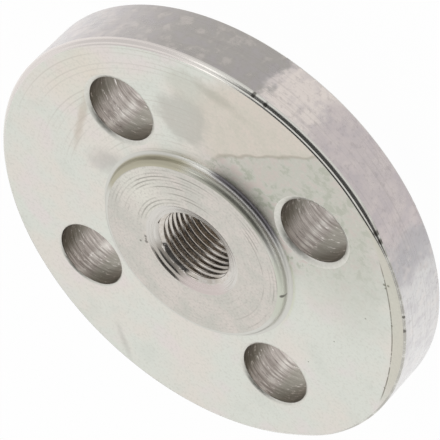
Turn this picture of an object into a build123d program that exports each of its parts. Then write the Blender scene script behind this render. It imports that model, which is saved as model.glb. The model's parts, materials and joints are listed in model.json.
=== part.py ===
from build123d import *
import os
from math import isclose

# Threaded flange, turned from one forged steel blank: a round plate with a raised
# sealing face in front, a short hub behind, a tapped bore through both and four bolt
# holes round it. It lies on the end of its hub with the raised face up, and the axis
# of the bore is +Z. Lengths are in millimetres and angles in degrees.

# Plate
rim_diameter = 90.0
plate_thickness = 12.0
rim_front_chamfer = 1.0
rim_back_chamfer = 0.5

# Raised sealing face
raised_diameter = 40.0
raised_height = 2.0
raised_edge_radius = 0.5
raised_foot_radius = 0.7

# Hub behind the plate, slightly tapered as forged
hub_root_diameter = 30.0
hub_end_diameter = 28.5
hub_height = 6.0
hub_root_radius = 2.5
hub_end_chamfer = 0.8

# Bore, tapped with a parallel pipe thread of the 55 degree form
thread_major_diameter = 16.662
thread_pitch = 1.337
thread_depth_per_pitch = 0.640327
face_countersink_diameter = 20.3
face_countersink_angle = 135.0
hub_countersink_diameter = 17.8
hub_countersink_angle = 90.0

# Bolt holes
bolt_hole_diameter = 14.0
bolt_circle_diameter = 60.0
bolt_hole_count = 4
first_bolt_angle = 45.0
bolt_hole_edge_break = 0.2

# Sizes that follow from the ones above
rim_radius = rim_diameter / 2
raised_radius = raised_diameter / 2
hub_root = hub_root_diameter / 2
hub_end = hub_end_diameter / 2
plate_back = hub_height
plate_front = plate_back + plate_thickness
top = plate_front + raised_height
bore_radius = thread_major_diameter / 2 - thread_depth_per_pitch * thread_pitch
bolt_hole_radius = bolt_hole_diameter / 2


def ring(part, radius, height):
    """The circular edges of a part about +Z at this radius and height."""
    circles = part.edges().filter_by(GeomType.CIRCLE)
    circles = circles.filter_by(lambda edge: isclose(edge.radius, radius, abs_tol=1e-5))
    return circles.filter_by(lambda edge: isclose(edge.center().Z, height, abs_tol=1e-5))


with BuildPart() as flange:
    # Half section from the axis out, hub end at the bottom, turned about the axis
    with BuildSketch(Plane.XZ):
        with BuildLine():
            Polyline(
                (0, 0),
                (hub_end, 0),
                (hub_root, plate_back),
                (rim_radius, plate_back),
                (rim_radius, plate_front),
                (raised_radius, plate_front),
                (raised_radius, top),
                (0, top),
                close=True,
            )
        make_face()
    revolve(axis=Axis.Z)

    # Edges as the lathe leaves them
    fillet(ring(flange, hub_root, plate_back), hub_root_radius)
    fillet(ring(flange, raised_radius, plate_front), raised_foot_radius)
    fillet(ring(flange, raised_radius, top), raised_edge_radius)
    chamfer(ring(flange, rim_radius, plate_front), rim_front_chamfer)
    chamfer(ring(flange, rim_radius, plate_back), rim_back_chamfer)
    chamfer(ring(flange, hub_end, 0), hub_end_chamfer)

    # Tapping bore, with a wide shallow countersink in front and a steeper one behind
    with Locations(Plane.XY.offset(top)):
        CounterSinkHole(
            radius=bore_radius,
            counter_sink_radius=face_countersink_diameter / 2,
            counter_sink_angle=face_countersink_angle,
        )
    with Locations(-Plane.XY):
        CounterSinkHole(
            radius=bore_radius,
            counter_sink_radius=hub_countersink_diameter / 2,
            counter_sink_angle=hub_countersink_angle,
        )

    # Bolt holes, deburred on both faces of the plate
    for face in (Plane.XY.offset(plate_front), -Plane.XY.offset(plate_back)):
        with Locations(face):
            with PolarLocations(bolt_circle_diameter / 2, bolt_hole_count, first_bolt_angle):
                CounterSinkHole(
                    radius=bolt_hole_radius,
                    counter_sink_radius=bolt_hole_radius + bolt_hole_edge_break,
                    counter_sink_angle=90,
                )

flange.part.label = "flange"

os.makedirs("parts", exist_ok=True)
export_step(flange.part, "parts/flange.step")
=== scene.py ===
import json
from math import cos, exp, hypot, pi, radians, sin, sqrt, tan

import bpy
import numpy as np
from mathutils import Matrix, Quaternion, Vector, noise
from mathutils.geometry import delaunay_2d_cdt


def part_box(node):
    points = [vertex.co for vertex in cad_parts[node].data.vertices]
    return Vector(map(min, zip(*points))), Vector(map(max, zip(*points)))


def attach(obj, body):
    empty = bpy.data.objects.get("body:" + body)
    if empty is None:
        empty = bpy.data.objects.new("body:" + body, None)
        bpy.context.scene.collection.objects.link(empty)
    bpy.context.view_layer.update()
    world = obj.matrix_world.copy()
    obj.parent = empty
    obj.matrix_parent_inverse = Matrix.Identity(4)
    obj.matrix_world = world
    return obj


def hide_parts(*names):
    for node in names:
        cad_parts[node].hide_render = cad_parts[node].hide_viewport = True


# The threaded flange as it looks: one turned, drilled and tapped piece of zinc plated steel,
# with its cut thread, turned grooves, edges, drill marks and stains. Lengths are in
# millimetres until the mesh is written, and angles in degrees unless a name says otherwise.

MM = 0.001
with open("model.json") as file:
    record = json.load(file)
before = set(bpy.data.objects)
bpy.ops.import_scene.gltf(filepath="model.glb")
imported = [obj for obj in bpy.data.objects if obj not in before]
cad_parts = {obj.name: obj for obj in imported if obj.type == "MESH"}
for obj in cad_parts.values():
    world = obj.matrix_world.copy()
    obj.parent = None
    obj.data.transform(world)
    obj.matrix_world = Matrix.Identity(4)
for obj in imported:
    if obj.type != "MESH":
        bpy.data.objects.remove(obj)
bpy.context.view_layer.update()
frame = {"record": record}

# Sizes that the frame gives
low_corner, high_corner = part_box("flange")
mounts = {mount["name"]: mount["dims"] for mount in frame["record"]["mounts"]}
rim_radius = high_corner.x / MM
top = high_corner.z / MM
bolt_circle_radius = mounts["bolt_holes"]["pcd_mm"] / 2
bolt_hole_radius = mounts["bolt_holes"]["hole_r_mm"]
bolt_hole_count = mounts["bolt_holes"]["count"]
first_bolt_angle = 45.0
bore_radius = mounts["thread"]["r_mm"]

# Plate
plate_thickness = 12.0
plate_back = 6.0
plate_front = plate_back + plate_thickness
rim_back_chamfer = 0.5

# Bolt holes, counted from the one at 45 degrees: width of the deburred edge of each in front
front_breaks = (1.05, 0.85, 0.4, 0.6)
front_break_slope = 27.0
back_break = 0.2

# Raised face, with the grooves that the lathe leaves on it
raised_radius = 20.0
raised_edge_radius = 1.1
raised_foot_radius = 0.85
groove_pitch = 0.74
groove_depth = 0.02

# Hub behind the plate
hub_end = 14.25
hub_taper = 7.125
hub_root_radius = 2.5
hub_end_chamfer = 0.8

# Thread, of the rounded 55 degree form, cut outwards from the bore
thread_pitch = 1.337
thread_depth = 0.640327 * thread_pitch
thread_round = 0.137329 * thread_pitch
thread_flank_angle = 27.5
hub_sink_radius = 8.9
hub_sink_angle = 45.0

# Mouth of the bore: a shallow countersink that the tool tore into steps on one side
mouth_radius = 10.2
mouth_depth = 0.74
mouth_stepped_depth = 1.06
mouth_stepped_from = -152.0
mouth_stepped_to = -92.0
mouth_inner_radius = 8.45
mouth_inner_angle = 68.0

# Front bevel of the rim, cut in two passes with a narrow land between, and slighter on one side
bevel_width = 1.07
bevel_slight = 0.4
bevel_slight_from = -52.0
bevel_slight_to = 50.0

# Fine line scored in the plate's face near the rim, along part of the way round. It bends
# away from the axis on both sides of its middle, by this much for each degree squared.
scored_radius = 42.15
scored_middle = 17.0
scored_bend = 0.002
scored_from = -12.0
scored_to = 34.0
scored_depth = 0.06

# Fineness of the mesh
turns = 192
hole_turns = 96
rim_step = 0.62
filler_spacing = 1.7

# Camera, found by fitting the flange's outline, bolt holes and raised face
view_azimuth = 70.9
view_elevation = 35.65
view_roll = -135.98
view_distance = 712.5
view_aim = (1.0, 3.36, 13.11)
view_lens = 318.0


class Shell:
    """Rings of points and the faces between them, gathered for one mesh."""

    def __init__(self):
        self.points = []
        self.faces = []
        self.zones = []
        self.creases = set()

    def ring(self, places):
        start = len(self.points)
        self.points.extend(places)
        return list(range(start, start + len(places)))

    def face(self, corners, zone):
        self.faces.append(corners)
        self.zones.append(zone)

    def band(self, first, second, zone):
        """Quads from one ring to the next. Both run anticlockwise seen from above."""
        for i, a in enumerate(first):
            j = (i + 1) % len(first)
            self.face((a, first[j], second[j], second[i]), zone)

    def bands(self, rings, zone):
        for first, second in zip(rings, rings[1:]):
            self.band(first, second, zone)

    def crease(self, ring):
        """The ring's edges stay sharp in the shading."""
        for i, a in enumerate(ring):
            b = ring[(i + 1) % len(ring)]
            self.creases.add((min(a, b), max(a, b)))


def even_angles(count):
    return [2 * pi * i / count for i in range(count)]


def circle(radius, height, angles, centre=(0.0, 0.0)):
    return [(centre[0] + radius * cos(a), centre[1] + radius * sin(a), height) for a in angles]


def arc(centre, radius, start, end, steps):
    """Points (r, z) of an arc in the half section, from one angle to another in degrees."""
    swing = np.radians(np.linspace(start, end, steps + 1))
    return [(centre[0] + radius * cos(a), centre[1] + radius * sin(a)) for a in swing]


def rings_of(shell, section, angles):
    """One ring for each point of a half section, which may change with the angle."""
    rows = [section(a) if callable(section) else section for a in angles]
    rings = []
    for k in range(len(rows[0])):
        places = [(row[k][0] * cos(a), row[k][0] * sin(a), row[k][1]) for row, a in zip(rows, angles)]
        rings.append(shell.ring(places))
    return rings


def bolt_centres():
    centres = []
    for k in range(bolt_hole_count):
        angle = radians(first_bolt_angle + 360 * k / bolt_hole_count)
        centres.append((bolt_circle_radius * cos(angle), bolt_circle_radius * sin(angle)))
    return centres


def between(value, low, high, soft):
    """1 between two limits and 0 outside them, with soft ends."""
    rise = min(max((value - low) / soft, 0.0), 1.0)
    fall = min(max((high - value) / soft, 0.0), 1.0)
    return rise * rise * (3 - 2 * rise) * fall * fall * (3 - 2 * fall)


def signed_degrees(angle):
    return (angle * 180 / pi + 180) % 360 - 180


def flat_with_holes(shell, outer, inner, mouths, height, zone, upwards):
    """Fills the flat between two rings round the axis, leaving the bolt holes' mouths open."""
    loops = [outer, inner, *mouths]
    known = [index for loop in loops for index in loop]
    loop_of = [number for number, loop in enumerate(loops) for _ in loop]
    flat = [Vector(shell.points[index][:2]) for index in known]
    edges = []
    for loop in loops:
        start = len(edges)
        edges += [(start + i, start + (i + 1) % len(loop)) for i in range(len(loop))]
    r_out = flat[0].length
    r_in = flat[len(outer)].length
    centres = bolt_centres()
    mouth = bolt_hole_radius + (max(front_breaks) if upwards else back_break)
    rows = int(r_out / filler_spacing) + 1
    for row in range(-rows, rows + 1):
        for column in range(-rows, rows + 1):
            x = (column + 0.5 * (row % 2)) * filler_spacing
            y = row * filler_spacing * sqrt(0.75)
            away = min(hypot(x - cx, y - cy) for cx, cy in centres) - mouth
            if min(away, hypot(x, y) - r_in, r_out - hypot(x, y)) > 0.6 * filler_spacing:
                flat.append(Vector((x, y)))
    places, _, triangles, origins, _, _ = delaunay_2d_cdt(flat, edges, [], 0, 1e-7)
    index_of = []
    home = []
    for place, origin in zip(places, origins):
        if origin and origin[0] < len(known):
            index_of.append(known[origin[0]])
            home.append(loop_of[origin[0]])
        else:
            index_of += shell.ring([(place.x, place.y, height)])
            home.append(0)
    for triangle in triangles:
        homes = {home[i] for i in triangle}
        if len(homes) == 1 and homes != {0}:
            continue
        corners = [index_of[i] for i in triangle]
        shell.face(tuple(corners if upwards else reversed(corners)), zone)


def thread_radius(phase):
    """Radius of the cut thread at a share of its pitch, 0 being the middle of a crest."""
    along = abs(((phase + 0.5) % 1.0) - 0.5) * thread_pitch
    half = thread_pitch / 2
    slope = radians(thread_flank_angle)
    shoulder = thread_round * cos(slope)
    if along < shoulder:
        depth = thread_round - sqrt(thread_round**2 - along**2)
    elif along > half - shoulder:
        depth = thread_depth - thread_round + sqrt(thread_round**2 - (half - along) ** 2)
    else:
        depth = thread_round * (1 - sin(slope)) + (along - shoulder) / tan(slope)
    return bore_radius + depth


def thread_phases():
    """Shares of the pitch where the section has points: six round a crest, six round a root."""
    shoulder = thread_round * cos(radians(thread_flank_angle)) / thread_pitch
    swing = radians(90 - thread_flank_angle)
    crest = [sin(swing * k / 5) / sin(swing) * shoulder for k in (-5, -3, -1, 1, 3, 5)]
    return sorted((share + shift) % 1.0 for share in crest for shift in (0.0, 0.5))


def stepped(angle):
    """How much of the countersink's torn steps there is at an angle, from 0 to 1."""
    return between(signed_degrees(angle), mouth_stepped_from, mouth_stepped_to, 17.0)


def mouth_bottom(angle):
    """Height at which the countersink's rings end and the thread's rows begin."""
    return top - mouth_depth - (mouth_stepped_depth - mouth_depth) * stepped(angle)


def sink_radius(z, bottom):
    """Radius of the plain cones in which the bore opens at its two ends."""
    in_front = mouth_inner_radius - (bottom - z) * tan(radians(mouth_inner_angle))
    return max(in_front, hub_sink_radius - z * tan(radians(hub_sink_angle)))


def bore(shell, face_ring, hub_ring):
    """The tapped bore from the front mouth to the hub's end, in rows that follow the helix."""
    phases = thread_phases()
    per_turn = len(phases)
    levels = [k + share for k in range(-2, int(top / thread_pitch) + 3) for share in phases]
    bottoms = [mouth_bottom(2 * pi * column / turns) for column in range(turns)]
    snap = 0.05
    fade = 0.4
    made = {}

    def vertex(column, row):
        if column == turns:
            column, row = 0, row + per_turn
        z = (levels[row] + column / turns) * thread_pitch
        if z >= bottoms[column] - snap:
            return face_ring[column]
        if z <= snap:
            return hub_ring[column]
        if (column, row) not in made:
            cone = sink_radius(z, bottoms[column])
            started = min((bottoms[column] - z) / fade, 1.0)
            r = cone + max(thread_radius(levels[row]) - cone, 0.0) * started
            angle = 2 * pi * column / turns
            made[(column, row)] = shell.ring([(r * cos(angle), r * sin(angle), z)])[0]
        return made[(column, row)]

    for row in range(len(levels) - per_turn - 1):
        middle = (levels[row] + levels[row + 1]) / 2
        for column in range(turns):
            height = (middle + column / turns) * thread_pitch
            cut = thread_radius(middle) > sink_radius(height, bottoms[column])
            plain = "mouth" if height > plate_back else "hub"
            ring = [vertex(column, row + 1), vertex(column + 1, row + 1)]
            ring += [vertex(column + 1, row), vertex(column, row)]
            corners = list(dict.fromkeys(ring))
            if len(corners) > 2:
                shell.face(tuple(corners), "thread" if cut else plain)


def groove(radius):
    """Depth of the lathe's grooves on the raised face, no two of them alike."""
    number = int(radius / groove_pitch)
    share = radius / groove_pitch - number
    strength = 0.35 + 0.65 * abs(sin(number * 12.9898 + 1.3))
    return groove_depth * strength * sin(pi * share)


def mouth_section(angle):
    """Half section of the bore's mouth at an angle, from the raised face down to the thread."""
    torn = stepped(angle)
    smooth_cone = ((0.0, 0.0), (0.08, 0.02), (0.3, 0.13), (0.38, 0.17), (0.95, 0.4), (1.03, 0.42),
                   (1.2, 0.52), (1.28, 0.55))
    steps = ((0.0, 0.0), (0.03, 0.06), (0.24, 0.42), (0.32, 0.46), (0.96, 0.55), (1.0, 0.6),
             (1.15, 0.8), (1.22, 0.84))
    section = []
    for (inwards, down), (step_inwards, step_down) in zip(smooth_cone, steps):
        inwards += (step_inwards - inwards) * torn
        down += (step_down - down) * torn
        section.append((mouth_radius - inwards, top - down))
    return section + [(mouth_inner_radius, mouth_bottom(angle))]


def raised_face(shell, foot_angles):
    """Rings of the raised face, from the foot of its step inwards to the countersink."""
    foot = arc((raised_radius + raised_foot_radius, plate_front + raised_foot_radius),
               raised_foot_radius, 270, 180, 9)
    edge = arc((raised_radius - raised_edge_radius, top - raised_edge_radius),
               raised_edge_radius, 0, 90, 8)
    rings = rings_of(shell, [(raised_radius + raised_foot_radius + 0.15, plate_front)] + foot, foot_angles)
    wall = rings_of(shell, edge, foot_angles)
    shell.bands(rings, "step")
    shell.band(rings[-1], wall[0], "step")
    shell.bands(wall, "step")
    start = raised_radius - raised_edge_radius
    radii = []
    r = start - 0.12
    while r > mouth_radius + 0.15:
        radii.append(r)
        r -= groove_pitch / 5
    section = [(r, top - groove(r)) for r in radii] + [(mouth_radius + 0.06, top)]
    grooves = rings_of(shell, section, foot_angles)
    shell.band(wall[-1], grooves[0], "raised")
    shell.bands(grooves, "raised")
    mouth = rings_of(shell, mouth_section, foot_angles)
    shell.band(grooves[-1], mouth[0], "raised")
    shell.bands(mouth, "mouth")
    return rings[0], mouth[-1]


def rim_section(angle):
    """Half section of the rim at an angle, from the plate's back up and over the front bevel."""
    degrees = signed_degrees(angle)
    slight = between(degrees, bevel_slight_from, bevel_slight_to, 16.0)
    uneven = 0.05 * noise.noise(Vector((3 * cos(angle), 3 * sin(angle), 0.0)))
    width = bevel_width + (bevel_slight - bevel_width) * slight + uneven
    back = [
        (rim_radius - rim_back_chamfer - 0.5, plate_back),
        (rim_radius - rim_back_chamfer - 0.05, plate_back),
        (rim_radius - rim_back_chamfer, plate_back + 0.02),
        (rim_radius - 0.03, plate_back + rim_back_chamfer - 0.02),
        (rim_radius, plate_back + rim_back_chamfer + 0.05),
    ]
    low = plate_back + rim_back_chamfer + 0.4
    wall = [(rim_radius, z) for z in np.linspace(low, plate_front - width - 0.2, 16)]
    cuts = ((0.0, 1.06), (0.01, 0.93), (0.05, 0.79), (0.11, 0.66), (0.21, 0.52), (0.35, 0.39),
            (0.52, 0.26), (0.55, 0.24), (0.84, 0.21), (0.87, 0.19), (0.97, 0.02), (1.0, 0.0))
    bevel = [(rim_radius - width * inwards, plate_front - width * down) for inwards, down in cuts]
    scored = scored_depth * between(degrees, scored_from, scored_to, 7.0)
    bend = max(scored_from - 5, min(scored_to + 5, degrees)) - scored_middle
    r = min(scored_radius + scored_bend * bend**2, 43.5)
    line = [(43.75, plate_front), (r + 0.14, plate_front), (r + 0.08, plate_front)]
    line += [(r, plate_front - scored), (r - 0.08, plate_front), (r - 0.14, plate_front)]
    line.append((41.2, plate_front))
    return back + wall + bevel + line


def rim(shell):
    """The rim's rings, named by where they lie."""
    count = int(2 * pi * rim_radius / rim_step)
    rings = rings_of(shell, rim_section, even_angles(count))
    chamfer_end = 4
    wall_end = chamfer_end + 17
    bevel_end = wall_end + 11
    shell.bands(rings[: 2], "plate")
    shell.bands(rings[1: chamfer_end + 1], "edge")
    shell.bands(rings[chamfer_end: wall_end + 1], "rim")
    shell.bands(rings[wall_end: bevel_end + 1], "edge")
    shell.bands(rings[bevel_end:], "plate")
    return rings[0], rings[-1]


def hole_wall(shell, centre, number):
    """One drilled hole, its wall uneven as the drill leaves it. Gives its two mouths."""
    angles = even_angles(hole_turns)
    wide = front_breaks[number]
    deep = wide * tan(radians(front_break_slope))
    section = [(wide, plate_front), (wide - 0.05, plate_front - 0.01), (0.05, plate_front - deep + 0.01)]
    section += [(0.0, z) for z in np.linspace(plate_front - deep - 0.06, plate_back + 0.5, 36)]
    section += [(0.0, plate_back + back_break), (back_break, plate_back)]
    rings = []
    for row, (out, z) in enumerate(section):
        places = []
        for a in angles:
            place = Vector((1.1 * cos(a), 1.1 * sin(a), 2.6 * z + 17.0 * number))
            rough = 0.012 * noise.noise(place) if out == 0 else 0.0
            r = bolt_hole_radius + out + rough
            places.append((centre[0] + r * cos(a), centre[1] + r * sin(a), z))
        rings.append(shell.ring(places))
    shell.bands(rings[:4], "break")
    shell.bands(rings[3:-1], "drilled")
    shell.band(rings[-2], rings[-1], "edge")
    shell.crease(rings[-1])
    return rings[0], rings[-1]


def hub(shell, angles):
    """The hub's rings, from the countersink at its end out to the plate's back."""
    slope = radians(hub_taper)
    centre_z = plate_back - hub_root_radius
    centre_r = hub_end + centre_z * tan(slope) + hub_root_radius / cos(slope)
    chamfered = hub_end_chamfer * cos(slope)
    section = [
        (hub_sink_radius, 0.0),
        (hub_sink_radius + 0.1, 0.0),
        (hub_end - hub_end_chamfer - 0.1, 0.0),
        (hub_end - hub_end_chamfer, 0.0),
        (hub_end + chamfered * tan(slope), chamfered),
        (hub_end + (chamfered + 0.1) * tan(slope), chamfered + 0.1),
        (hub_end + 2.3 * tan(slope), 2.3),
    ]
    section += arc((centre_r, centre_z), hub_root_radius, 180 - hub_taper, 90, 9)
    section.append((centre_r + 0.2, plate_back))
    rings = rings_of(shell, section, angles)
    shell.bands(rings, "hub")
    shell.crease(rings[0])
    shell.crease(rings[3])
    shell.crease(rings[4])
    return rings[0], rings[-1]


def build_flange(materials):
    shell = Shell()
    angles = even_angles(turns)
    foot, face_mouth = raised_face(shell, angles)
    hub_mouth, hub_foot = hub(shell, angles)
    bore(shell, face_mouth, hub_mouth)
    rim_back, rim_front = rim(shell)
    mouths = [hole_wall(shell, centre, number) for number, centre in enumerate(bolt_centres())]
    flat_with_holes(shell, rim_front, foot, [m[0] for m in mouths], plate_front, "plate", True)
    flat_with_holes(shell, rim_back, hub_foot, [m[1] for m in mouths], plate_back, "plate", False)
    mesh = bpy.data.meshes.new("flange_body")
    mesh.from_pydata([[MM * c for c in p] for p in shell.points], [], shell.faces)
    for material in materials.values():
        mesh.materials.append(material)
    slots = {name: number for number, name in enumerate(materials)}
    mesh.polygons.foreach_set("material_index", [slots[zone] for zone in shell.zones])
    mesh.shade_smooth()
    mesh.set_sharp_from_angle(angle=radians(38))
    sharp = mesh.attributes.get("sharp_edge") or mesh.attributes.new("sharp_edge", "BOOLEAN", "EDGE")
    for edge in mesh.edges:
        a, b = edge.vertices
        if (min(a, b), max(a, b)) in shell.creases:
            sharp.data[edge.index].value = True
    mesh.update()
    piece = bpy.data.objects.new("flange_body", mesh)
    bpy.context.scene.collection.objects.link(piece)
    return piece


class Nodes:
    """The nodes of a material or of the world, each joined to its inputs as it is made."""

    def __init__(self, owner):
        owner.use_nodes = True
        self.tree = owner.node_tree
        self.tree.nodes.clear()

    def add(self, kind, inputs=(), output=0, **settings):
        node = self.tree.nodes.new("ShaderNode" + kind)
        for name, value in settings.items():
            setattr(node, name, value)
        pairs = inputs.items() if isinstance(inputs, dict) else enumerate(inputs)
        for key, value in pairs:
            if isinstance(value, bpy.types.NodeSocket):
                self.tree.links.new(value, node.inputs[key])
            elif value is not None:
                node.inputs[key].default_value = value
        return node.outputs[output] if node.outputs else None

    def math(self, operation, *inputs):
        return self.add("Math", inputs, operation=operation)

    def vector(self, operation, *inputs, output=0):
        return self.add("VectorMath", inputs, output, operation=operation)

    def blend(self, share, first, second, how="MIX"):
        return self.add("Mix", {0: share, 6: first, 7: second}, 2, data_type="RGBA", blend_type=how)

    def smooth(self, value, low, high, start=0.0, end=1.0):
        return self.add("MapRange", (value, low, high, start, end), interpolation_type="SMOOTHSTEP")

    def noise(self, vector, scale, detail=2.0, roughness=0.5, distortion=0.0):
        inputs = {"Vector": vector, "Scale": scale, "Detail": detail}
        inputs.update({"Roughness": roughness, "Distortion": distortion})
        return self.add("TexNoise", inputs)


def tone(red, green, blue):
    """A colour as it shows, from 0 to 255, in the linear light that shaders take."""
    def linear(value):
        value /= 255
        return value / 12.92 if value <= 0.04045 else ((value + 0.055) / 1.055) ** 2.4
    return (linear(red), linear(green), linear(blue), 1.0)


class Place(Nodes):
    """A material's nodes with the place on the flange: x, y, z, the radius and the way round."""

    def __init__(self, name):
        self.material = bpy.data.materials.new(name)
        super().__init__(self.material)
        metres = self.add("TexCoord", output=3)
        self.point = self.vector("SCALE", metres)
        self.point.node.inputs["Scale"].default_value = 1 / MM
        parts = self.add("SeparateXYZ", (self.point,)).node.outputs
        self.x, self.y, self.z = parts
        self.flat = self.vector("MULTIPLY", self.point, (1.0, 1.0, 0.0))
        self.radius = self.vector("LENGTH", self.flat, output=1)
        self.around = self.vector("NORMALIZE", self.flat)
        self.ragged = self.noise(self.point, 0.22, 4.0, 0.6)

    def bearing(self, flat=None):
        """Degrees round the axis, or round another point, from +X towards +Y."""
        x, y, _ = self.add("SeparateXYZ", (flat or self.flat,)).node.outputs
        return self.math("MULTIPLY", self.math("ARCTAN2", y, x), 180 / pi)

    def ramp(self, value, low, high, soft, soft_end=None):
        """1 while a value lies between two limits, falling to 0 outside them."""
        soft_end = soft_end or soft
        rise = self.smooth(value, low - soft, low + soft)
        return self.math("MULTIPLY", rise, self.smooth(value, high + soft_end, high - soft_end))

    def strewn(self, value, low, high, spread, soft, soft_end=None):
        """The ramp between two limits, with its ends pushed about by the ragged noise."""
        shift = self.math("MULTIPLY", self.math("SUBTRACT", self.ragged, 0.5), 2 * spread)
        return self.ramp(self.math("ADD", value, shift), low, high, soft, soft_end)

    def tint(self, colour, share, strength, shade):
        """A colour laid over another by a share of its strength."""
        return self.blend(self.math("MULTIPLY", share, strength), colour, shade)

    def lines(self, across, pitch, wander=0.6, around=None, detail=2.0):
        """Uneven parallel lines: noise that changes quickly across them and slowly along."""
        along = self.vector("SCALE", around or self.around)
        along.node.inputs["Scale"].default_value = wander
        offset = self.add("CombineXYZ", (0.0, 0.0, self.math("DIVIDE", across, pitch)))
        return self.noise(self.vector("ADD", along, offset), 1.0, detail)

    def patch(self, x, y, size, stretch=1.0, turn=0.0, soft=1.0, wander=2.0):
        """A stain's strength: 1 inside a ragged oval at (x, y), falling to 0 at its edge."""
        shift = self.math("MULTIPLY", self.math("SUBTRACT", self.ragged, 0.5), 2 * wander)
        local = self.vector("SUBTRACT", self.flat, (x, y, 0.0))
        turned = self.add("VectorRotate", {0: local, 3: radians(-turn)}, rotation_type="Z_AXIS")
        scaled = self.vector("MULTIPLY", turned, (1 / stretch, 1.0, 1.0))
        away = self.math("ADD", self.vector("LENGTH", scaled, output=1), shift)
        return self.smooth(away, size + soft, size - soft)

    def beside(self, x, y, turn):
        """Distance to the left of a straight line through (x, y), bent in long waves."""
        slope = radians(turn)
        local = self.vector("SUBTRACT", self.flat, (x, y, 0.0))
        across = self.vector("DOT_PRODUCT", local, (-sin(slope), cos(slope), 0.0), output=1)
        waves = self.noise(self.flat, 0.16, 1.5)
        shift = self.math("MULTIPLY", self.math("SUBTRACT", waves, 0.5), 4.0)
        return self.math("ADD", across, shift)

    def specks(self, places, size):
        """Small dark pits at the given places, each with its own reach."""
        total = 0.0
        for x, y, reach in places:
            away = self.vector("DISTANCE", self.flat, (x, y, 0.0), output=1)
            total = self.math("ADD", total, self.smooth(away, size * reach, 0.4 * size * reach))
        return self.math("MINIMUM", total, 1.0)

    def rings(self, pitch, width, wander=0.05):
        """Thin turned lines, each with its own strength, that fade in and out round the axis."""
        shift = self.math("MULTIPLY", self.noise(self.around, 1.2, 1.0), wander)
        count = self.math("ADD", self.math("DIVIDE", self.radius, pitch), shift)
        number = self.math("FLOOR", count)
        share = self.math("ABSOLUTE", self.math("SUBTRACT", self.math("FRACT", count), 0.5))
        line = self.smooth(share, width, 0.0)
        place = self.add("CombineXYZ", (0.0, 0.0, self.math("MULTIPLY", number, 7.3)))
        along = self.vector("ADD", self.vector("MULTIPLY", self.around, (1.6, 1.6, 0.0)), place)
        return self.math("MULTIPLY", line, self.smooth(self.noise(along, 1.0, 2.0), 0.4, 0.65))

    def finish(self, colour, roughness, height):
        """Ends in the metal's shader. Height is in millimetres."""
        inputs = {"Base Color": colour, "Roughness": roughness, "Metallic": 1.0}
        inputs["Normal"] = self.add("Bump", {"Strength": 1.0, "Distance": MM, "Height": height})
        shader = self.add("BsdfPrincipled", inputs)
        self.add("OutputMaterial", (shader,))
        return self.material


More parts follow.
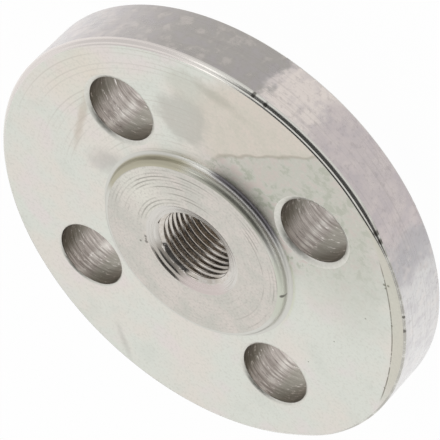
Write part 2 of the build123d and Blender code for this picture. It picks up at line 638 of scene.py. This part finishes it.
def plate_material():
    """Turned and plated face: pale, satin, with faint colours, stains and a tide line."""
    n = Place("zinc_plate")
    mottle = n.noise(n.point, 0.075, 3.0, 0.55)
    faint = n.noise(n.vector("ADD", n.point, (31.0, 7.0, 0.0)), 0.11, 2.0)
    cloud = n.noise(n.vector("ADD", n.point, (3.0, 51.0, 0.0)), 0.42, 4.0, 0.65)
    bearing = n.bearing()
    colour = n.blend(n.smooth(mottle, 0.4, 0.62), tone(219, 221, 213), tone(224, 219, 211))
    colour = n.tint(colour, n.smooth(faint, 0.5, 0.7), 0.6, tone(226, 216, 215))
    colour = n.tint(colour, n.smooth(faint, 0.46, 0.3), 0.5, tone(211, 214, 206))

    # Greyer, greener side of the face, clouded with pink and green beside the raised face, and painted shade
    # on the plate next to the step
    grey_side = n.patch(17.0, 29.0, 15.0, 1.35, -28.0, 7.0, 5.0)
    colour = n.tint(colour, grey_side, 0.8, tone(193, 191, 181))
    colour = n.tint(colour, n.patch(27.0, 17.0, 11.0, 1.4, -60.0, 5.0, 4.0), 0.5, tone(200, 202, 192))
    beside_step = n.math("MULTIPLY", n.ramp(bearing, 26.0, 94.0, 9.0), n.smooth(n.radius, 32.0, 24.0))
    clouded = n.math("MAXIMUM", beside_step, n.math("MULTIPLY", grey_side, 0.55))
    green = n.math("MULTIPLY", clouded, n.smooth(cloud, 0.5, 0.4))
    pink = n.math("MULTIPLY", clouded, n.smooth(cloud, 0.52, 0.62))
    colour = n.tint(colour, green, 0.8, tone(164, 170, 152))
    colour = n.tint(colour, pink, 0.7, tone(208, 192, 187))
    # Painted shade: the plate darker close to the step on one side, standing for the step's shadow and its
    # dark reflection
    painted_shade_near_step = n.math("MULTIPLY", n.ramp(bearing, 47.0, 88.0, 7.0), n.smooth(n.radius, 27.0, 20.6))
    colour = n.tint(colour, painted_shade_near_step, 0.8, tone(134, 132, 124))

    # Paler field that a drying drop left, with its tide line
    left_of_tide = n.beside(1.2, 26.0, 39.5)
    drop = n.math("MULTIPLY", n.smooth(left_of_tide, -0.3, 0.4), n.patch(6.0, 35.0, 11.0, 1.2, 30.0, 2.2))
    colour = n.tint(colour, drop, 0.8, n.blend(cloud, tone(206, 203, 190), tone(222, 209, 199)))
    edge = n.math("MULTIPLY", n.ramp(left_of_tide, -0.28, 0.28, 0.3), n.patch(9.0, 32.5, 10.0, 1.2, 40.0, 1.5))
    colour = n.tint(colour, edge, 0.6, tone(166, 158, 144))

    # Smudges, streaks and a halo of brighter plating
    colour = n.tint(colour, n.patch(-8.5, 29.0, 5.4, 1.0, 0.0, 1.4, 3.0), 0.7, tone(188, 186, 178))
    colour = n.tint(colour, n.patch(-5.0, 39.2, 1.2, 5.5, -4.0, 1.0, 1.6), 0.5, tone(168, 168, 154))
    colour = n.tint(colour, n.patch(-9.0, 36.5, 3.0, 1.5, 0.0, 1.5, 2.0), 0.5, tone(198, 197, 185))
    colour = n.tint(colour, n.patch(-28.5, 14.5, 0.7, 12.0, 88.0, 0.6, 0.8), 0.5, tone(186, 172, 156))
    colour = n.tint(colour, n.patch(-21.5, 6.5, 2.4, 1.6, 30.0, 1.4, 2.0), 0.55, tone(180, 174, 170))
    colour = n.tint(colour, n.patch(-31.0, 24.0, 5.0, 1.6, 60.0, 3.0, 3.0), 0.5, tone(226, 216, 202))
    colour = n.tint(colour, n.patch(-10.5, -39.0, 0.7, 5.0, 120.0, 0.5, 0.8), 0.45, tone(182, 180, 174))
    halo = n.math("MULTIPLY", n.ramp(n.radius, 20.4, 21.4, 0.4), n.ramp(bearing, -16.0, 30.0, 12.0))
    colour = n.tint(colour, halo, 0.5, tone(208, 210, 184))

    # Warmer band next to the rim, the dirt in the scored line, and small pits on it
    bend = n.math("POWER", n.math("SUBTRACT", bearing, scored_middle), 2.0)
    line = n.math("ADD", n.math("MULTIPLY", bend, scored_bend), scored_radius)
    past_line = n.math("SUBTRACT", n.radius, line)
    outer = n.math("MULTIPLY", n.smooth(past_line, -0.2, 0.4), n.ramp(bearing, -12.0, 66.0, 9.0, 16.0))
    colour = n.tint(colour, outer, 0.75, tone(203, 200, 187))
    broken = n.math("MULTIPLY", n.smooth(n.noise(n.flat, 0.5, 3.0, 0.7), 0.36, 0.52), 0.9)
    dirt = n.math("MULTIPLY", n.smooth(n.math("ABSOLUTE", past_line), 0.19, 0.05), broken)
    dirt = n.math("MULTIPLY", dirt, n.ramp(bearing, scored_from, scored_to, 2.5))
    colour = n.tint(colour, dirt, 0.85, tone(112, 106, 92))
    pits = n.specks(((37.2, 19.7, 1.3), (38.0, 20.0, 1.2), (40.8, 10.8, 1.0), (37.6, 19.0, 0.9),
                     (42.9, -6.0, 1.0), (35.6, 8.4, 0.8), (31.0, -2.5, 0.7), (27.2, -12.0, 0.7)), 0.3)
    colour = n.tint(colour, pits, 0.7, tone(96, 96, 76))

    # Fine grain and the traces of turning
    grain = n.noise(n.point, 1.6, 4.0, 0.7)
    colour = n.tint(colour, n.smooth(grain, 0.54, 0.3), 0.35, tone(184, 182, 171))
    colour = n.tint(colour, n.smooth(grain, 0.54, 0.76), 0.3, tone(232, 229, 221))
    turned = n.lines(n.radius, 0.5, 1.6)
    traces = n.math("MULTIPLY", n.rings(1.1, 0.2), n.ramp(bearing, 98.0, 175.0, 12.0))
    colour = n.tint(colour, traces, 0.4, tone(186, 180, 170))
    height = n.math("MULTIPLY", turned, 0.0035)
    height = n.math("ADD", height, n.math("MULTIPLY", grain, 0.007))
    roughness = n.smooth(grain, 0.3, 0.7, 0.32, 0.44)
    return n.finish(colour, roughness, height)


def raised_material():
    """The raised face, with its turned grooves drawn darker, as dirt and as painted shade in them."""
    n = Place("zinc_raised")
    mottle = n.noise(n.point, 0.2, 4.0, 0.65)
    colour = n.blend(n.smooth(mottle, 0.35, 0.65), tone(201, 199, 191), tone(213, 206, 199))
    bearing = n.bearing()
    bright = n.patch(-12.0, 7.0, 5.0, 1.3, 150.0, 5.0, 4.0)
    colour = n.tint(colour, bright, 0.8, tone(224, 222, 212))
    grain = n.noise(n.point, 1.8, 4.0, 0.7)
    colour = n.tint(colour, n.smooth(grain, 0.54, 0.32), 0.45, tone(168, 163, 156))
    colour = n.tint(colour, n.smooth(grain, 0.56, 0.76), 0.3, tone(228, 224, 218))
    # Dirt and painted shade in the grooves: darker lines, strongest on two sides of the face
    lines = n.rings(groove_pitch, 0.3)
    left = n.ramp(bearing, 88.0, 176.0, 12.0)
    right = n.math("MULTIPLY", n.ramp(bearing, -30.0, 60.0, 16.0), n.smooth(n.radius, 14.5, 16.5))
    share = n.math("ADD", n.math("MAXIMUM", left, right), 0.16)
    colour = n.tint(colour, n.math("MULTIPLY", lines, share), 0.65, tone(136, 132, 124))
    pits = n.specks(((-9.8, -4.0, 1.0), (-9.4, -5.2, 1.2), (-10.6, -5.9, 0.8), (-8.2, -5.4, 0.8),
                     (-9.6, -4.6, 0.8)), 0.42)
    colour = n.tint(colour, pits, 0.75, tone(104, 100, 94))
    height = n.math("MULTIPLY", grain, 0.01)
    height = n.math("SUBTRACT", height, n.math("MULTIPLY", lines, 0.005))
    roughness = n.smooth(grain, 0.3, 0.7, 0.28, 0.4)
    return n.finish(colour, roughness, height)


def rim_material():
    """Turned and plated rim: clouded, with painted reflection by the bearing round it: painted highlight where
    it is paler and warmer, and painted shade, duller grey past a soft edge.
    """
    n = Place("zinc_rim")
    cloud = n.noise(n.point, 0.24, 4.0, 0.6)
    colour = n.blend(n.smooth(cloud, 0.36, 0.64), tone(208, 204, 203), tone(226, 219, 217))
    bearing = n.bearing()
    # Painted reflection of the lit and shaded floor round the rim: the pale, pink and near white zones are
    # painted highlight, the grey zones painted shade
    colour = n.tint(colour, n.strewn(bearing, -40.0, 29.0, 7.0, 5.0), 0.7, tone(226, 226, 225))
    colour = n.tint(colour, n.strewn(bearing, 27.0, 37.0, 6.0, 3.0), 0.6, tone(182, 180, 184))
    colour = n.tint(colour, n.strewn(bearing, 37.0, 72.0, 8.0, 3.0), 0.6, tone(212, 200, 200))
    colour = n.tint(colour, n.strewn(bearing, 71.0, 84.0, 8.0, 3.0, 2.0), 0.85, tone(244, 234, 227))
    colour = n.tint(colour, n.strewn(bearing, 84.0, 124.0, 8.0, 2.0, 16.0), 0.85, tone(174, 170, 165))
    colour = n.tint(colour, n.strewn(bearing, 116.0, 138.0, 6.0, 10.0), 0.35, tone(184, 178, 176))
    soft = n.noise(n.vector("ADD", n.point, (9.0, 4.0, 2.0)), 0.36, 4.0, 0.6)
    colour = n.tint(colour, n.smooth(soft, 0.52, 0.36), 0.3, tone(188, 182, 188))
    colour = n.tint(colour, n.smooth(soft, 0.52, 0.66), 0.25, tone(236, 226, 220))
    turned = n.lines(n.z, 0.3, 2.2)
    colour = n.tint(colour, n.smooth(turned, 0.48, 0.3), 0.22, tone(166, 160, 157))
    grain = n.noise(n.point, 1.0, 4.0, 0.7)
    colour = n.tint(colour, n.smooth(grain, 0.48, 0.34), 0.3, tone(170, 163, 162))
    height = n.math("MULTIPLY", turned, 0.003)
    height = n.math("ADD", height, n.math("MULTIPLY", grain, 0.008))
    roughness = n.smooth(cloud, 0.3, 0.7, 0.26, 0.36)
    return n.finish(colour, roughness, height)


def edge_material():
    """Bright turned edges: the bevel and the deburred mouths of the holes, with dirt and painted shade on one
    side of the bevel.
    """
    n = Place("zinc_edge")
    bearing = n.bearing()
    turned = n.lines(n.math("ADD", n.z, n.radius), 0.2, 2.0)
    colour = n.blend(turned, tone(210, 209, 202), tone(226, 224, 218))
    on_rim = n.smooth(n.radius, 43.4, 43.9)
    worn = n.math("MULTIPLY", on_rim, n.ramp(bearing, 100.0, 176.0, 12.0))
    colour = n.tint(colour, worn, 0.5, tone(226, 214, 212))
    # Dirt and painted shade: an irregular darker stretch of the bevel on one side
    grime_and_shade = n.math("MULTIPLY", n.smooth(n.noise(n.flat, 0.45, 3.0, 0.7), 0.3, 0.56), on_rim)
    grime_and_shade = n.math("MULTIPLY", grime_and_shade, n.ramp(bearing, -36.0, 48.0, 12.0))
    colour = n.tint(colour, grime_and_shade, 0.5, tone(136, 132, 124))
    nicks = n.specks(((3.7, 44.6, 1.0), (6.4, 44.1, 1.0), (32.9, 30.4, 1.3), (34.2, 29.2, 1.3),
                      (43.2, 11.3, 1.1), (42.4, 14.6, 0.8)), 0.55)
    colour = n.tint(colour, nicks, 0.8, tone(84, 80, 74))
    roughness = n.smooth(turned, 0.3, 0.7, 0.2, 0.28)
    return n.finish(colour, roughness, n.math("MULTIPLY", turned, 0.003))


def break_material():
    """Deburred mouths of the bolt holes: a pale, matt cone cut through the plating's dirt."""
    n = Place("zinc_break")
    grain = n.noise(n.point, 1.4, 3.0, 0.6)
    colour = n.blend(n.smooth(grain, 0.3, 0.7), tone(214, 213, 204), tone(228, 226, 219))
    return n.finish(colour, n.smooth(grain, 0.3, 0.7, 0.38, 0.48), n.math("MULTIPLY", grain, 0.006))


def step_material():
    """Step round the raised face, with painted shade on one side: greenish grey above, violet grey to near
    black at the foot, and darker yellow grey further round; and a white foot on one side.
    """
    n = Place("zinc_step")
    bearing = n.bearing()
    turned = n.lines(n.math("ADD", n.z, n.radius), 0.3, 2.0)
    colour = n.blend(turned, tone(204, 203, 196), tone(220, 219, 213))
    above = n.smooth(n.z, 19.0, 19.5)
    # Painted shade: the foot darkened to violet grey and near black on one side
    painted_foot_shade = n.ramp(bearing, 44.0, 90.0, 8.0, 5.0)
    colour = n.tint(colour, n.math("MULTIPLY", painted_foot_shade, n.smooth(n.z, 18.9, 18.5)), 0.3, tone(184, 180, 194))
    colour = n.tint(colour, n.math("MULTIPLY", painted_foot_shade, n.smooth(n.z, 18.5, 18.2)), 0.8, tone(104, 99, 106))
    # Painted shade: the top of the step darker and greenish grey on the same side
    painted_shade_above = n.math("MULTIPLY", n.ramp(bearing, 46.0, 104.0, 12.0), above)
    colour = n.tint(colour, painted_shade_above, 0.75, tone(146, 146, 132))
    # Painted shade: the upper wall darker and yellower further round
    painted_shade_wall = n.math("MULTIPLY", n.ramp(bearing, 105.0, 172.0, 6.0), n.smooth(n.z, 18.05, 18.4))
    colour = n.tint(colour, painted_shade_wall, 0.8, tone(176, 170, 146))
    green = n.math("MULTIPLY", n.ramp(bearing, -12.0, 34.0, 8.0), above)
    colour = n.tint(colour, green, 0.5, tone(196, 202, 182))
    nick = n.specks(((19.5, 2.7, 1.0),), 0.5)
    colour = n.tint(colour, nick, 0.8, tone(80, 76, 70))
    smoother = n.ramp(bearing, 90.0, 112.0, 4.0)
    roughness = n.math("SUBTRACT", n.smooth(turned, 0.3, 0.7, 0.38, 0.46), n.math("MULTIPLY", smoother, 0.16))
    return n.finish(colour, roughness, n.math("MULTIPLY", turned, 0.003))


def mouth_material():
    """The countersunk mouth of the bore, scored by the tool, duller than the edges."""
    n = Place("bore_mouth")
    turned = n.lines(n.math("SUBTRACT", n.radius, n.z), 0.2, 1.5)
    colour = n.blend(n.smooth(turned, 0.3, 0.7), tone(198, 194, 188), tone(216, 213, 207))
    bearing = n.bearing()
    pink = n.ramp(bearing, -100.0, -30.0, 14.0)
    colour = n.tint(colour, pink, 0.7, tone(206, 192, 189))
    torn = n.ramp(bearing, mouth_stepped_from + 4, mouth_stepped_to - 4, 10.0)
    colour = n.tint(colour, torn, 0.7, tone(170, 164, 155))
    inner = n.math("MULTIPLY", torn, n.smooth(n.radius, 9.25, 8.9))
    colour = n.tint(colour, inner, 0.7, tone(132, 126, 118))
    roughness = n.smooth(turned, 0.3, 0.7, 0.24, 0.34)
    return n.finish(colour, roughness, n.math("MULTIPLY", turned, 0.004))


def drilled_material():
    """Walls of the bolt holes: rings and torn flecks from the drill, with painted shade and a painted
    highlight by the bearing round each hole, the same in every hole.
    """
    n = Place("drilled_wall")
    reach = bolt_circle_radius * sqrt(0.5)
    centre = n.vector("MULTIPLY", n.vector("SIGN", n.flat), (reach, reach, 0.0))
    local = n.vector("SUBTRACT", n.flat, centre)
    bearing = n.bearing(local)
    rings = n.lines(n.z, 0.42, 0.12, n.flat, 3.0)
    fine = n.lines(n.z, 0.16, 0.2, n.flat)
    torn = n.noise(n.vector("MULTIPLY", n.point, (0.5, 0.5, 2.2)), 1.0, 4.0, 0.7)
    colour = n.blend(n.smooth(rings, 0.34, 0.66), tone(166, 157, 151), tone(208, 200, 194))
    colour = n.tint(colour, n.smooth(fine, 0.5, 0.3), 0.4, tone(130, 122, 114))
    colour = n.tint(colour, n.smooth(torn, 0.42, 0.3), 0.6, tone(104, 96, 90))
    # Painted shade round each hole: greyer on one side and darkest on the side opposite
    colour = n.tint(colour, n.ramp(bearing, -88.0, 20.0, 8.0, 20.0), 0.75, tone(168, 165, 154))
    colour = n.tint(colour, n.ramp(bearing, -190.0, -142.0, 14.0), 0.75, tone(118, 114, 102))
    colour = n.tint(colour, n.ramp(bearing, 120.0, 190.0, 14.0), 0.75, tone(118, 114, 102))
    # Painted highlight: a bright stripe down each hole's wall, broken by the drill's rings
    bright = n.math("MULTIPLY", n.strewn(bearing, -110.0, -99.0, 9.0, 6.0), n.smooth(rings, 0.3, 0.6))
    colour = n.tint(colour, bright, 0.6, tone(242, 238, 231))
    colour = n.tint(colour, n.smooth(torn, 0.58, 0.66), 0.8, tone(248, 243, 238))
    height = n.math("MULTIPLY", rings, 0.03)
    height = n.math("ADD", height, n.math("MULTIPLY", torn, 0.03))
    roughness = n.smooth(torn, 0.3, 0.7, 0.42, 0.3)
    return n.finish(colour, roughness, height)


def thread_material():
    n = Place("cut_thread")
    mottle = n.noise(n.point, 0.7, 3.0, 0.6)
    colour = n.blend(n.smooth(mottle, 0.35, 0.65), tone(198, 191, 182), tone(216, 211, 205))
    return n.finish(colour, n.smooth(mottle, 0.3, 0.7, 0.13, 0.22), n.math("MULTIPLY", mottle, 0.003))


def hub_material():
    n = Place("zinc_hub")
    mottle = n.noise(n.point, 0.2, 4.0, 0.6)
    colour = n.blend(mottle, tone(200, 198, 190), tone(214, 211, 203))
    return n.finish(colour, n.smooth(mottle, 0.3, 0.7, 0.32, 0.45), n.math("MULTIPLY", mottle, 0.03))


def add_floor():
    """Pale floor that shows white, and still takes the flange's shadow."""
    reach = 3.0
    corners = [(-reach, -reach, 0), (reach, -reach, 0), (reach, reach, 0), (-reach, reach, 0)]
    mesh = bpy.data.meshes.new("floor")
    mesh.from_pydata(corners, [], [(0, 1, 2, 3)])
    floor = bpy.data.objects.new("floor", mesh)
    bpy.context.scene.collection.objects.link(floor)
    material = bpy.data.materials.new("pale_floor")
    n = Nodes(material)
    path = n.add("LightPath").node.outputs
    seen = n.math("MAXIMUM", path["Is Camera Ray"], path["Is Transmission Ray"])
    seen = n.math("MULTIPLY", seen, 0.975)
    shiny = n.math("MULTIPLY", path["Is Glossy Ray"], 0.85)
    matt = n.add("BsdfDiffuse", {"Color": tone(250, 250, 249)})
    # Seen in reflections, the floor glows brighter under and behind the flange than in front of it, as painted
    # light and painted shade
    bearing = radians(view_azimuth)
    place = n.add("TexCoord", output=3)
    in_front = n.vector("DOT_PRODUCT", place, (cos(bearing), sin(bearing), 0.0), output=1)
    level = n.smooth(in_front, 0.072, -0.012, 0.84, 1.15)
    level = n.add("Mix", {0: path["Is Glossy Ray"], 2: 1.0, 3: level}, 0, data_type="FLOAT")
    glow = n.add("Emission", {"Color": (1.0, 1.0, 1.0, 1.0), "Strength": level})
    mixed = n.add("MixShader", (n.math("MAXIMUM", seen, shiny), matt, glow))
    n.add("OutputMaterial", (mixed,))
    mesh.materials.append(material)


def tent_patch(n, direction, azimuth, elevation, radius, soft):
    """Share of a round patch of the tent that a direction meets, in degrees from its middle."""
    a, e = radians(azimuth), radians(elevation)
    middle = (cos(e) * cos(a), cos(e) * sin(a), sin(e))
    facing = n.vector("DOT_PRODUCT", direction, middle, output=1)
    return n.smooth(facing, cos(radians(radius + soft)), cos(radians(radius - soft)))


def light_world():
    """A pale tent all round, dark round and above the camera, with a bright window beside it."""
    world = bpy.data.worlds.new("tent")
    bpy.context.scene.world = world
    n = Nodes(world)
    direction = n.add("TexCoord", output=0)
    level = 1.0
    for azimuth, elevation, radius, soft, left in (
        (58.0, 56.0, 38.0, 9.0, 0.05),
        (168.0, 34.0, 27.0, 9.0, 0.78),
        (345.0, 33.0, 14.0, 6.0, 0.6),
    ):
        share = tent_patch(n, direction, azimuth, elevation, radius, soft)
        level = n.math("MULTIPLY", level, n.smooth(share, 0.0, 1.0, 1.0, left))
    window = tent_patch(n, direction, 128.0, 47.0, 9.5, 3.0)
    level = n.math("ADD", level, n.math("MULTIPLY", window, 1.0))
    path = n.add("LightPath").node.outputs
    level = n.add("Mix", {0: path["Is Camera Ray"], 2: level, 3: 1.0}, 0, data_type="FLOAT")
    background = n.add("Background", {"Color": (1.0, 1.0, 1.0, 1.0), "Strength": level})
    n.add("OutputWorld", (background,))


def add_camera():
    azimuth, elevation = radians(view_azimuth), radians(view_elevation)
    toward = Vector((cos(elevation) * cos(azimuth), cos(elevation) * sin(azimuth), sin(elevation)))
    data = bpy.data.cameras.new("camera")
    data.lens = view_lens
    data.sensor_width = 36.0
    camera = bpy.data.objects.new("camera", data)
    camera.location = (Vector(view_aim) + view_distance * toward) * MM
    camera.rotation_mode = "QUATERNION"
    roll = Quaternion((0.0, 0.0, 1.0), radians(view_roll))
    camera.rotation_quaternion = toward.to_track_quat("Z", "Y") @ roll
    bpy.context.scene.collection.objects.link(camera)
    bpy.context.scene.camera = camera


materials = {
    "plate": plate_material(),
    "raised": raised_material(),
    "rim": rim_material(),
    "edge": edge_material(),
    "step": step_material(),
    "break": break_material(),
    "mouth": mouth_material(),
    "drilled": drilled_material(),
    "thread": thread_material(),
    "hub": hub_material(),
}
flange_body = build_flange(materials)
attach(flange_body, "root")
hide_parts("flange")

add_floor()
light_world()
add_camera()
bpy.context.scene.view_settings.view_transform = "Standard"
